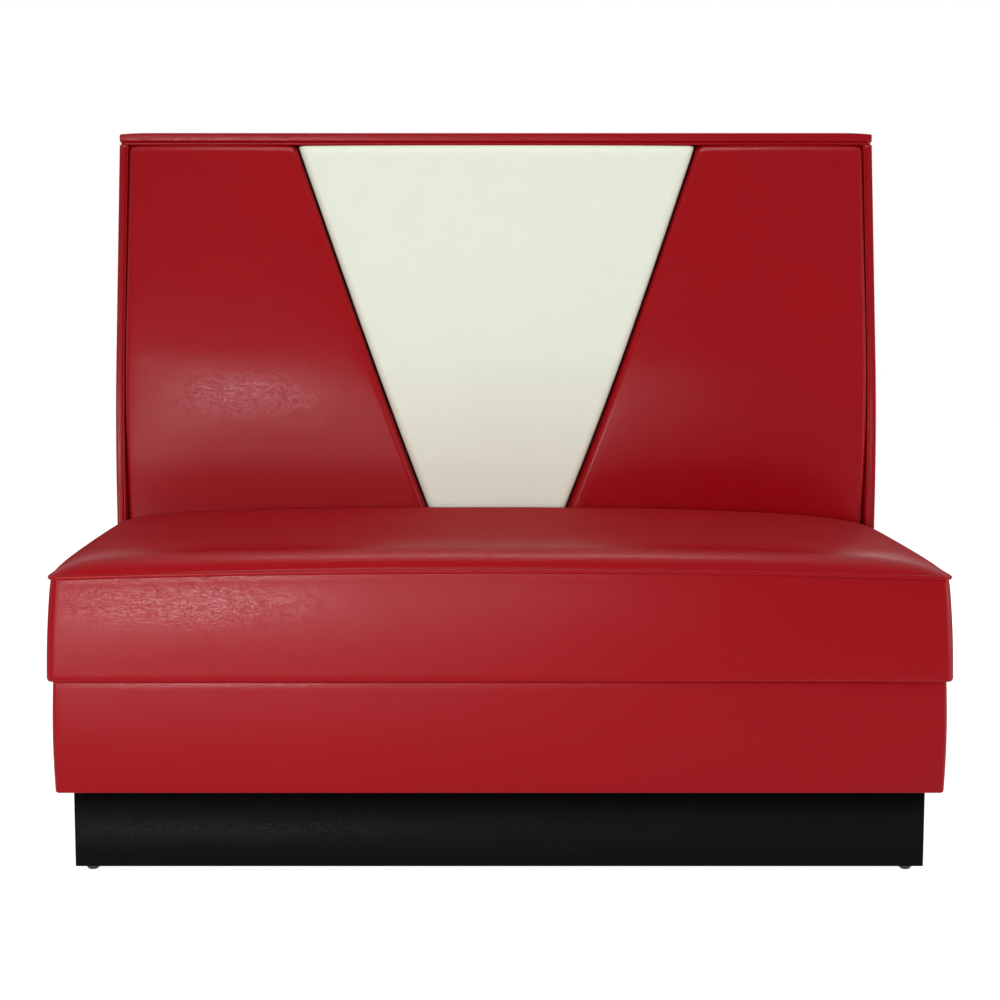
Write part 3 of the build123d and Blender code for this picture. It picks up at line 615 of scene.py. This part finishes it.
def pad_rings(name, sizes):
    """Rings of points for one back pad, from its foot to its rolled top."""
    low, high = node_box(name + "_pad_cover")
    bottom, top = low.z, high.z + PAD_LIFT
    roll, corner = sizes.pad_roll, sizes.pad_corner
    left_roll = roll * (OUTER_ROLL if name == "left" else SEAM_ROLL)
    right_roll = roll * (OUTER_ROLL if name == "right" else SEAM_ROLL)
    turns, across = quarter_turns(8), 34
    rings = []
    for z, drop in pad_levels(bottom, top, roll):
        left, right = pad_edges(name, z)
        over = z - (top - corner)
        nip = corner - math.sqrt(max(corner**2 - over**2, 0.0)) if over > 0 else 0.0
        left, right = left + nip, right - nip
        share = (z - bottom) / (top - bottom)
        swell = pad_fullness(share)
        tuck = sizes.pad_tuck * (1 - smooth_step((share - 0.02) / 0.22))
        face = back_front(z, 0) + PAD_SET_BACK - sizes.pad_swell * swell + tuck + drop
        crown = sizes.pad_crown * (0.12 + 0.88 * swell)
        rear = back_front(z, BACK_TUCK)
        edge = min(face + 0.9 * roll, rear - MM)
        rolled = [(1 - math.cos(turn), edge - (edge - face) * math.sin(turn)) for turn in turns]
        ring = [(left, rear), (left, (rear + edge) / 2)]
        ring += [(left + left_roll * reach, y) for reach, y in rolled]
        for n in range(1, across):
            step = n / across
            x = left + left_roll + (right - left - left_roll - right_roll) * step
            bow = 1 - (2 * step - 1) ** 2
            uneven = sizes.unevenness * ripple(x, z) * min(bow * 4, 1.0)
            ring.append((x, face - crown * bow**0.8 + uneven))
        ring += [(right - right_roll * reach, y) for reach, y in reversed(rolled)]
        ring += [(right, (rear + edge) / 2), (right, rear)]
        rings.append([(x, y, z) for x, y in ring])
    return rings


class BOOTH_OT_back_pads(bpy.types.Operator):
    """Make the two red pads and the cream V pad of the back"""

    bl_idname = "booth.back_pads"
    bl_label = "Back pads"

    def execute(self, context):
        sizes = context.scene.booth_sizes
        slots = {"left": "red_vinyl", "centre": "cream_vinyl", "right": "red_vinyl"}
        for name, slot in slots.items():
            obj = closed_form(name + "_back_pad", pad_rings(name, sizes), slot, BODY_MAIN)
            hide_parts(name + "_pad_cover", name + "_pad_foam")
        return {"FINISHED"}


def end_ring(side, outer, inner, front_y, rear_y):
    """One level cut through an end covering: outside, front strip, welt seat and turned-in lip."""
    skin, lip, edge = 2.7 * MM, 0.5 * MM, 2.4 * MM
    ring = [(outer, rear_y), (outer, front_y + edge)]
    for turn in quarter_turns(6)[1:]:
        ring.append((outer - edge * (1 - math.cos(turn)), front_y + edge * (1 - math.sin(turn))))
    ring += [(outer - 9.8 * MM, front_y), (outer - 10.6 * MM, front_y + 0.5 * MM),
             (outer - 11.1 * MM, front_y + 1.8 * MM), (inner - lip, front_y + 2.2 * MM),
             (inner - lip, front_y + BACK_TUCK), (inner, front_y + BACK_TUCK),
             (inner, front_y + skin), (outer - skin, front_y + skin), (outer - skin, rear_y)]
    return [(side * x, y) for x, y in ring]


class BOOTH_OT_back_ends(bpy.types.Operator):
    """Make the coverings of the back's two ends and the welts along them"""

    bl_idname = "booth.back_ends"
    bl_label = "Back ends"

    def execute(self, context):
        steps = 90
        for name, side in (("left", -1), ("right", 1)):
            low, high = node_box("back_" + name + "_end_vinyl")
            panel_low, panel_high = node_box("back_" + name + "_end_panel")
            outer = max(abs(low.x), abs(high.x))
            inner = min(abs(panel_low.x), abs(panel_high.x))
            rings = []
            for n in range(steps + 1):
                z = low.z + (high.z - low.z) * n / steps
                ring = end_ring(side, outer, inner, back_front(z, 0), high.y)
                rings.append([(x, y, z) for x, y in ring])
            obj = closed_form("back_" + name + "_end_cover", rings, "red_vinyl", BODY_MAIN)
            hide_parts("back_" + name + "_end_vinyl")
            low, high = node_box("back_" + name + "_end_welt")
            radius = (high.x - low.x) / 2
            x = (low.x + high.x) / 2 - side * 0.2 * MM
            path = []
            for n in range(steps + 1):
                z = low.z + radius * 0.5 + (high.z - low.z - radius) * n / steps
                path.append(Vector((x, back_front(z, -0.7 * MM), z)))
            obj = tube("back_" + name + "_welt", path, radius, "red_vinyl", BODY_MAIN)
            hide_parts("back_" + name + "_end_welt")
        return {"FINISHED"}


# Cap

CAP_EDGE = 2.4 * MM
DROOP_REACH = 45 * MM
CAP_WELT_RADIUS = 2.7 * MM
CAP_WELT_CORNER = 5 * MM


def cap_stations(low, high):
    """Places along the cap, each with how far its rounded ends draw in there."""
    ends = [(CAP_EDGE * (1 - math.cos(turn)), CAP_EDGE * (1 - math.sin(turn)))
            for turn in quarter_turns(8)]
    inner = high.x - CAP_EDGE
    stations = [(low.x + reach, inset) for reach, inset in ends]
    stations += [(-inner + 2 * inner * n / 80, 0.0) for n in range(1, 80)]
    return stations + [(high.x - reach, inset) for reach, inset in reversed(ends)]


def cap_ring(x, inset, low, high, sizes):
    """One upright cut through the cap's covering, with its edges rounded."""
    fall = max(abs(x) - (high.x - DROOP_REACH), 0.0) / DROOP_REACH
    top = high.z - sizes.cap_droop * fall**2
    near, far = low.y + inset, high.y - inset
    bottom, upper = low.z + inset * 0.3, top - inset * 0.6
    ring = []
    for y, start in ((near + CAP_EDGE, math.pi), (far - CAP_EDGE, math.pi / 2)):
        for quarter in quarter_turns(6):
            turn = start - quarter
            ring.append((x, y + CAP_EDGE * math.cos(turn),
                         upper - CAP_EDGE + CAP_EDGE * math.sin(turn)))
    under = ((far, MM), (far - MM, 0.0), (near + 3.4 * MM, 0.0), (near + 1.6 * MM, 0.8 * MM),
             (near + 0.4 * MM, 2 * MM), (near, 3.4 * MM))
    return ring + [(x, y, bottom + rise) for y, rise in under]


def cap_welt_path():
    """The line of the welt under the cap: along the left end, the front and the right end."""
    low, high = node_box("cap_welt")
    corner = CAP_WELT_CORNER
    half, near, far = high.x - CAP_WELT_RADIUS, low.y + CAP_WELT_RADIUS - 0.6 * MM, high.y
    wide, long = half - corner, far - near - corner
    plan = [(-half, far - long * n / 8) for n in range(8)]
    plan += quarter_arc(-wide, near + corner, corner, math.pi, 8)
    plan += [(-wide + 2 * wide * n / 60, near) for n in range(1, 60)]
    plan += quarter_arc(wide, near + corner, corner, -math.pi / 2, 8)
    plan += [(half, near + corner + long * n / 8) for n in range(1, 9)]
    z = high.z - CAP_WELT_RADIUS + 0.4 * MM
    return [Vector((x, y, z)) for x, y in plan]


class BOOTH_OT_cap(bpy.types.Operator):
    """Make the wrapped cap and the welt under its edge"""

    bl_idname = "booth.cap"
    bl_label = "Cap"

    def execute(self, context):
        sizes = context.scene.booth_sizes
        low, high = node_box("cap_vinyl")
        rings = [cap_ring(x, inset, low, high, sizes) for x, inset in cap_stations(low, high)]
        obj = closed_form("cap_cover", rings, "red_vinyl", BODY_MAIN)
        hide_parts("cap_vinyl")
        obj = tube("cap_edge_welt", cap_welt_path(), CAP_WELT_RADIUS, "red_vinyl", BODY_MAIN)
        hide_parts("cap_welt")
        return {"FINISHED"}


# Seat

SEAT_ACROSS, SEAT_DEEP, BOXING_ROWS = 110, 60, 24
SIDE_DRAW = 2.5 * MM  # how far the cushion's edges are drawn in halfway along
SHOULDER_POWER, FRONT_POWER = 0.628, 0.815
REAR_TUCK_REACH = 22 * MM
BOXING_PINCH = 2.6 * MM  # how far the boxing is drawn in at its welt
SEAT_WELT_RADIUS = 3.1 * MM


class SeatForm:
    """The cushion's outlines and heights, worked out from its CAD solids.

    The cushion lies a little lower on its right than on its left."""

    def __init__(self, sizes):
        low, high = node_box("seat_boxing")
        self.sizes = sizes
        self.half = high.x + 1.5 * MM
        self.front = low.y
        self.rear = high.y
        self.bottom = low.z
        self.seam_half = self.half - 4.5 * MM
        self.seam_front = self.front + 14.5 * MM
        self.seam_corner = self.bottom + 139.8 * MM
        self.front_rise = 9.4 * MM
        self.rear_rise = 18 * MM
        self.corner = 13 * MM

    def side_seam(self, y):
        """Height of the seam along the cushion's sides."""
        share = (y - self.seam_front) / (self.rear - self.seam_front)
        share = min(max(share, 0.0), 1.0)
        return self.seam_corner + self.rear_rise * (1.35 * share - 0.35 * share * share)

    def lean(self, x):
        """How much lower the cushion lies on its right than on its left, from 0 to 1."""
        return max(x / self.seam_half, 0.0) ** 2

    def seam(self, x, y):
        """Height of the seam line at a point of its outline."""
        side = self.side_seam(y)
        side -= 0.28 * (side - self.seam_corner) * self.lean(x)
        return side + self.front_rise * (1 - (x / self.seam_half) ** 2)

    def top(self, x, y):
        """Height of the crowned top."""
        sizes = self.sizes
        side = max(self.seam_half - abs(x), 0.0)
        ahead = max(y - self.seam_front, 0.0)
        behind = max(self.rear - y, 0.0)
        reach = sizes.shoulder * (0.9 + 0.75 * self.lean(x))
        rise = 1 - math.exp(-(side / reach) ** SHOULDER_POWER)
        rise *= 1 - math.exp(-(ahead / sizes.front_fall) ** FRONT_POWER)
        tuck = 1 - 0.5 * math.exp(-behind / REAR_TUCK_REACH)
        uneven = 2 * sizes.unevenness * ripple(x, y, 8.0) * rise
        return self.seam(x, y) + sizes.seat_crown * rise * tuck + uneven

    def plan(self, u, v, half, near, far):
        """A point of the unit square, from -1 to 1, laid in a rounded outline."""
        middle, deep = (near + far) / 2, (far - near) / 2
        x, y = abs(u) * half, abs(v) * deep
        qx, qy = x - (half - self.corner), y - (deep - self.corner)
        if qx > 0 and qy > 0:
            scale = max(qx, qy) / math.hypot(qx, qy)
            x, y = half - self.corner + qx * scale, deep - self.corner + qy * scale
        front_draw = SIDE_DRAW * (1 - u * u) if v < 0 else 0.0
        x -= SIDE_DRAW * (1 - v * v) * abs(u)
        y -= front_draw * abs(v)
        return math.copysign(x, u), middle + math.copysign(y, v)


def edge_spaced(count):
    """Values from -1 to 1, closer together near both ends."""
    return [math.sin(math.pi / 2 * (2 * n / count - 1)) for n in range(count + 1)]


def seat_border():
    """The cushion grid's border, anticlockwise from the front left: index in the grid, u and v."""
    across, deep = edge_spaced(SEAT_ACROSS), edge_spaced(SEAT_DEEP)
    border = [(i, 0) for i in range(SEAT_ACROSS)]
    border += [(SEAT_ACROSS, j) for j in range(SEAT_DEEP)]
    border += [(i, SEAT_DEEP) for i in range(SEAT_ACROSS, 0, -1)]
    border += [(0, j) for j in range(SEAT_DEEP, 0, -1)]
    return [(i + (SEAT_ACROSS + 1) * j, across[i], deep[j]) for i, j in border]


def seat_top_grid(form):
    """Points and faces of the crowned top."""
    wide = SEAT_ACROSS + 1
    points, faces = [], []
    for v in edge_spaced(SEAT_DEEP):
        for u in edge_spaced(SEAT_ACROSS):
            x, y = form.plan(u, v, form.seam_half, form.seam_front, form.rear)
            points.append((x, y, form.top(x, y)))
    for j in range(SEAT_DEEP):
        for i in range(SEAT_ACROSS):
            a = j * wide + i
            faces.append((a, a + 1, a + wide + 1, a + wide))
    return points, faces


def seat_side_points(form, border):
    """Rows of points down the upright sides and in under the turned edge."""
    roll, tucked, skin = 5 * MM, 24 * MM, 1.2 * MM
    points = []
    for n in range(1, BOXING_ROWS + 1):
        share = n / BOXING_ROWS
        half = form.seam_half + (form.half - form.seam_half) * share
        near = form.seam_front + (form.front - form.seam_front) * share
        arch = math.sin(math.pi * share)
        pinch = BOXING_PINCH * math.exp(-share / 0.03)
        for _, u, v in border:
            x, y = form.plan(u, v, half, near, form.rear)
            if abs(u) == 1:
                x += u * (form.sizes.boxing_bulge * arch - pinch)
            if v == -1:
                y -= form.sizes.front_bulge * arch - pinch
            seam = form.seam(x, y)
            points.append((x, y, seam + (form.bottom + roll - seam) * share))
    for inset, lift in ((roll * 0.29, roll * 0.29), (roll, 0.0), (tucked, 0.0), (tucked, skin)):
        for _, u, v in border:
            x, y = form.plan(u, v, form.half - inset, form.front + inset, form.rear - inset)
            points.append((x, y, form.bottom + lift))
    return points


def make_seat_cover(form):
    """The cushion as one closed form: crowned top, upright sides and a turned-under edge."""
    points, faces = seat_top_grid(form)
    border = seat_border()
    start, count = len(points), len(border)
    points += seat_side_points(form, border)
    for k in range(count):
        following = (k + 1) % count
        faces.append((border[k][0], border[following][0], start + following, start + k))
    faces += ring_faces(count, (len(points) - start) // count, start)
    faces.append(tuple(range(len(points) - count, len(points))))
    obj = piece("seat_cushion", points, faces, "red_vinyl", BODY_SEAT)
    turn_outward(obj)
    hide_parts("seat_boxing", "seat_top_cover", "seat_foam")


def seat_welt_path(form):
    """The line of the seat's welt, from the left rear round the front to the right rear."""
    left, right = [], []
    for _, u, v in seat_border():
        if v == 1:
            continue
        x, y = form.plan(u, v, form.seam_half + 0.2 * MM, form.seam_front - 0.9 * MM, form.rear)
        place = Vector((x, y, form.seam(x, y) + 0.3 * MM))
        (left if u == -1 and v > -1 else right).append(place)
    return left + right


class BOOTH_OT_seat_cushion(bpy.types.Operator):
    """Make the crowned cushion and the welt round its top edge"""

    bl_idname = "booth.seat_cushion"
    bl_label = "Seat cushion"

    def execute(self, context):
        form = SeatForm(context.scene.booth_sizes)
        make_seat_cover(form)
        obj = tube("seat_edge_welt", seat_welt_path(form), SEAT_WELT_RADIUS, "red_vinyl",
                   BODY_SEAT)
        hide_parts("seat_welt")
        return {"FINISHED"}


# Base, kick and feet

class BOOTH_OT_base_wrap(bpy.types.Operator):
    """Make the padded covering of the base box"""

    bl_idname = "booth.base_wrap"
    bl_label = "Base covering"

    def execute(self, context):
        low, high = node_box("base_vinyl_wrap")
        edge, lip, skin, fold, bulge, corner = (
            3 * MM, 21.7 * MM, 2.7 * MM, 1.2 * MM, 2.0 * MM, 6 * MM)
        profile = [(lip, low.z + fold), (lip, low.z), (edge, low.z),
                   (edge * 0.3, low.z + edge * 0.3), (0.0, low.z + edge)]
        upright = high.z - low.z - 2 * edge
        for n in range(1, 16):
            share = n / 16
            profile.append((-bulge * math.sin(math.pi * share), low.z + edge + upright * share))
        profile += [(0.0, high.z - edge), (edge * 0.3, high.z - edge * 0.3), (edge, high.z),
                    (lip, high.z), (lip, high.z - fold), (skin, high.z - fold),
                    (skin, low.z + fold)]
        obj = swept_wrap("base_covering", (low, high), corner, profile, "red_vinyl", BODY_MAIN)
        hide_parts("base_vinyl_wrap")
        return {"FINISHED"}


class BOOTH_OT_kick_band(bpy.types.Operator):
    """Make the black band round the kick"""

    bl_idname = "booth.kick_band"
    bl_label = "Kick band"

    def execute(self, context):
        low, high = node_box("plinth_vinyl_band")
        lip, skin, corner = 5 * MM, 1.2 * MM, 2.5 * MM
        profile = [(lip, low.z + skin), (lip, low.z), (1.5 * MM, low.z),
                   (0.4 * MM, low.z + 0.5 * MM), (0.0, low.z + 1.6 * MM), (0.0, high.z),
                   (skin, high.z), (skin, low.z + skin)]
        obj = swept_wrap("kick_covering", (low, high), corner, profile, "black_vinyl", BODY_MAIN)
        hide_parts("plinth_vinyl_band")
        return {"FINISHED"}


def foot_profile(radius, top):
    """Half a foot's outline as (radius, height): domed pad, shoulder and ridged stem."""
    stem, ridge, ridges, centre = 4 * MM, 0.45 * MM, 26, 0.002 * MM
    profile = [(centre, 0.0), (radius * 0.45, 0.0)]
    for turn in quarter_turns(8)[1:]:
        profile.append((radius * (0.45 + 0.55 * math.sin(turn)), 5.5 * MM * (1 - math.cos(turn))))
    profile += [(radius, 7.4 * MM), (radius - 0.6 * MM, 8 * MM), (stem + 0.6 * MM, 8 * MM),
                (stem, 8.6 * MM)]
    for n in range(ridges):
        z = 9.5 * MM + (top - 11 * MM) * n / ridges
        profile += [(stem, z), (stem - ridge, z + 0.6 * MM)]
    return profile + [(stem - 0.6 * MM, top), (centre, top)]


class BOOTH_OT_feet(bpy.types.Operator):
    """Make the four domed feet on their stems"""

    bl_idname = "booth.feet"
    bl_label = "Feet"

    def execute(self, context):
        sides = 40
        for name in FEET:
            low, high = node_box(name + "_leveller")
            centre = (low + high) / 2
            rings = []
            for r, z in foot_profile((high.x - low.x) / 2, high.z):
                turns = [2 * math.pi * s / sides for s in range(sides)]
                rings.append([(centre.x + r * math.cos(turn), centre.y + r * math.sin(turn),
                               low.z + z) for turn in turns])
            obj = closed_form(name + "_foot", rings, "nylon", name + "_leveller_body")
            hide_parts(name + "_leveller")
        return {"FINISHED"}


# Finishes of the carried-over solids

class BOOTH_OT_finishes(bpy.types.Operator):
    """Make every finish, and give each carried-over solid the one of its slot"""

    bl_idname = "booth.finishes"
    bl_label = "Finishes"

    def execute(self, context):
        made = make_materials(context.scene.booth_colours)
        slots = {row["node"]: row["material_slot"] for row in frame["record"]["subparts"]}
        for name, obj in frame["nodes"].items():
            finish = made.get(slots[name])
            if finish is None:
                continue
            if not obj.material_slots:
                obj.data.materials.append(finish)
            for place in obj.material_slots:
                place.material = finish
        return {"FINISHED"}


# Stage

WORLD_LIGHT = 0.22  # strength of the world as a light; it is 1 where it is seen or mirrored
FLOOR_GLOW = 0.84
FLOOR_REACH = 14.0
LAMPS = (  # name, place, aim, size and watts
    ("Key soft box", (-0.88, -2.75, 0.76), (0.0, 0.0, 0.5), (0.75, 0.85), 26.0),
    ("Key core", (-0.8, -2.72, 0.76), (0.0, 0.0, 0.6), (0.6, 0.34), 28.0),
    ("Top soft box", (0.0, 0.15, 2.9), (0.0, 0.0, 0.4), (1.5, 0.4), 24.0),
    ("Right strip", (2.3, -0.9, 0.8), (0.5, 0.0, 0.7), (0.3, 1.3), 16.0),
    ("Back fill", (0.9, 3.0, 1.3), (0.0, 0.0, 0.5), (1.6, 1.6), 30.0),
)


def soft_box(name, place, aim, size, power):
    """A large soft lamp that looks at a point."""
    data = bpy.data.lights.new(name, "AREA")
    data.shape = "RECTANGLE"
    data.size, data.size_y = size
    data.energy = power
    lamp = bpy.data.objects.new(name, data)
    lamp.location = place
    lamp.rotation_euler = (Vector(aim) - Vector(place)).to_track_quat("-Z", "Y").to_euler()
    bpy.context.scene.collection.objects.link(lamp)


def seen_rays(tree):
    """One for a ray from the camera, a mirror-like ray or a see-through ray, and otherwise zero."""
    path = node(tree, "ShaderNodeLightPath")
    rays = math_node(tree, "MAXIMUM", path.outputs["Is Camera Ray"], path.outputs["Is Glossy Ray"])
    return math_node(tree, "MAXIMUM", rays, path.outputs["Is Transmission Ray"])


def make_camera(scene):
    """The camera at the photograph's place and angle."""
    data = bpy.data.cameras.new("Camera")
    data.lens, data.sensor_width, data.shift_x = 57.7, 36.0, 0.0246
    camera = bpy.data.objects.new("Camera", data)
    camera.location = (-0.033, -2.4205, 0.721)
    camera.rotation_euler = (math.radians(90 - 5.44), 0.0, 0.0)
    scene.collection.objects.link(camera)
    scene.camera = camera


def make_world(scene):
    """A white world, dimmed where it only lights the bench."""
    world = bpy.data.worlds.new("Studio")
    world.use_nodes = True
    tree = world.node_tree
    back = tree.nodes["Background"]
    strength = node(tree, "ShaderNodeMapRange",
                    {"Value": seen_rays(tree), "To Min": WORLD_LIGHT, "To Max": 1.0})
    back.inputs["Color"].default_value = (1.0, 1.0, 1.0, 1.0)
    tree.links.new(strength.outputs["Result"], back.inputs["Strength"])
    scene.world = world


def make_floor(scene):
    """A pale floor that shows the bench's shadow."""
    reach = FLOOR_REACH
    mesh = bpy.data.meshes.new("floor")
    mesh.from_pydata([(-reach, -reach, 0), (reach, -reach, 0), (reach, reach, 0),
                      (-reach, reach, 0)], [], [(0, 1, 2, 3)])
    floor = bpy.data.objects.new("floor", mesh)
    scene.collection.objects.link(floor)
    material, tree, shader, _ = start_material("Studio floor", Roughness=0.9)
    shader.inputs["Base Color"].default_value = (*scene.booth_colours.floor, 1.0)
    shader.inputs["Specular IOR Level"].default_value = 0.0
    shader.inputs["Emission Color"].default_value = (1.0, 1.0, 1.0, 1.0)
    glow = math_node(tree, "MULTIPLY", seen_rays(tree), FLOOR_GLOW)
    tree.links.new(glow, shader.inputs["Emission Strength"])
    mesh.materials.append(material)


class BOOTH_OT_stage(bpy.types.Operator):
    """Make the floor, the lamps, the world and the camera"""

    bl_idname = "booth.stage"
    bl_label = "Studio"

    def execute(self, context):
        scene = context.scene
        scene.view_settings.view_transform = "Standard"
        make_camera(scene)
        for lamp in LAMPS:
            soft_box(*lamp)
        make_world(scene)
        make_floor(scene)
        return {"FINISHED"}


class BOOTH_PT_bench(bpy.types.Panel):
    """The bench's settings and steps"""

    bl_idname = "BOOTH_PT_bench"
    bl_label = "Booth bench"
    bl_space_type = "VIEW_3D"
    bl_region_type = "UI"
    bl_category = "Booth"

    def draw(self, context):
        layout = self.layout
        for group in (context.scene.booth_sizes, context.scene.booth_colours):
            column = layout.column(align=True)
            for key in group.__annotations__:
                column.prop(group, key)
        column = layout.column(align=True)
        for step in STEPS:
            column.operator(step.bl_idname)


STEPS = (BOOTH_OT_stage, BOOTH_OT_finishes, BOOTH_OT_back_pads, BOOTH_OT_back_ends, BOOTH_OT_cap,
         BOOTH_OT_seat_cushion, BOOTH_OT_base_wrap, BOOTH_OT_kick_band, BOOTH_OT_feet)
CLASSES = (BoothSizes, BoothColours) + STEPS + (BOOTH_PT_bench,)


def register():
    for item in CLASSES:
        bpy.utils.register_class(item)
    bpy.types.Scene.booth_sizes = bpy.props.PointerProperty(type=BoothSizes)
    bpy.types.Scene.booth_colours = bpy.props.PointerProperty(type=BoothColours)


def unregister():
    del bpy.types.Scene.booth_colours
    del bpy.types.Scene.booth_sizes
    for item in reversed(CLASSES):
        bpy.utils.unregister_class(item)


def main():
    """Builds the whole bench."""
    register()
    for step in STEPS:
        group, name = step.bl_idname.split(".")
        getattr(getattr(bpy.ops, group), name)()
    bpy.context.view_layer.update()


if __name__ == "__main__":
    main()
